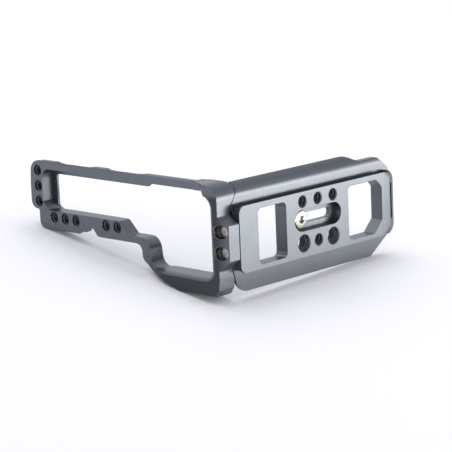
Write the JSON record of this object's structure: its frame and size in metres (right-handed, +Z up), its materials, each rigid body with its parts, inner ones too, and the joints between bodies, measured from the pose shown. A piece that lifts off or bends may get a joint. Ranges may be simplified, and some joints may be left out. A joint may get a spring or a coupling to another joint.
{
  "type": "camera l-bracket",
  "caption": "Camera L-bracket: a windowed base plate and an open side plate with dovetail edges, held by joint screws, with a captive camera screw that slides in a slot.",
  "frame": {"origin": "on the table, under the middle of the bracket's box, with the bracket standing on its long lower edge", "axes": "+Z up along the height of both plates, +X along the base plate away from the corner, +Y along the side plate away from the corner, which is also square to the platform that the camera stands on"},
  "size_m": [0.148, 0.164, 0.0632],
  "materials": {
    "anodised_aluminium": "bead-blasted, titanium-grey anodised",
    "joint_screw_steel": "stainless, turned",
    "camera_screw_steel": "stainless, turned",
    "washer_nylon": "moulded"
  },
  "bodies": {
    "bracket": {"base_plate": "anodised_aluminium", "side_plate": "anodised_aluminium", "lower_joint_screw": "joint_screw_steel", "upper_joint_screw": "joint_screw_steel"},
    "washer": {"camera_screw_washer": "washer_nylon"},
    "camera_screw": {"camera_screw": "camera_screw_steel"}
  },
  "joints": [
    {"name": "screw_slide", "type": "slide", "parent": "bracket", "child": "washer", "axis": [1, 0, 0], "range_m": [-0.0027, 0.02515]},
    {"name": "screw_turn", "type": "hinge", "parent": "washer", "child": "camera_screw", "pos_m": [-0.0075, -0.075, 0.0336], "axis": [0, 1, 0], "continuous": true}
  ]
}
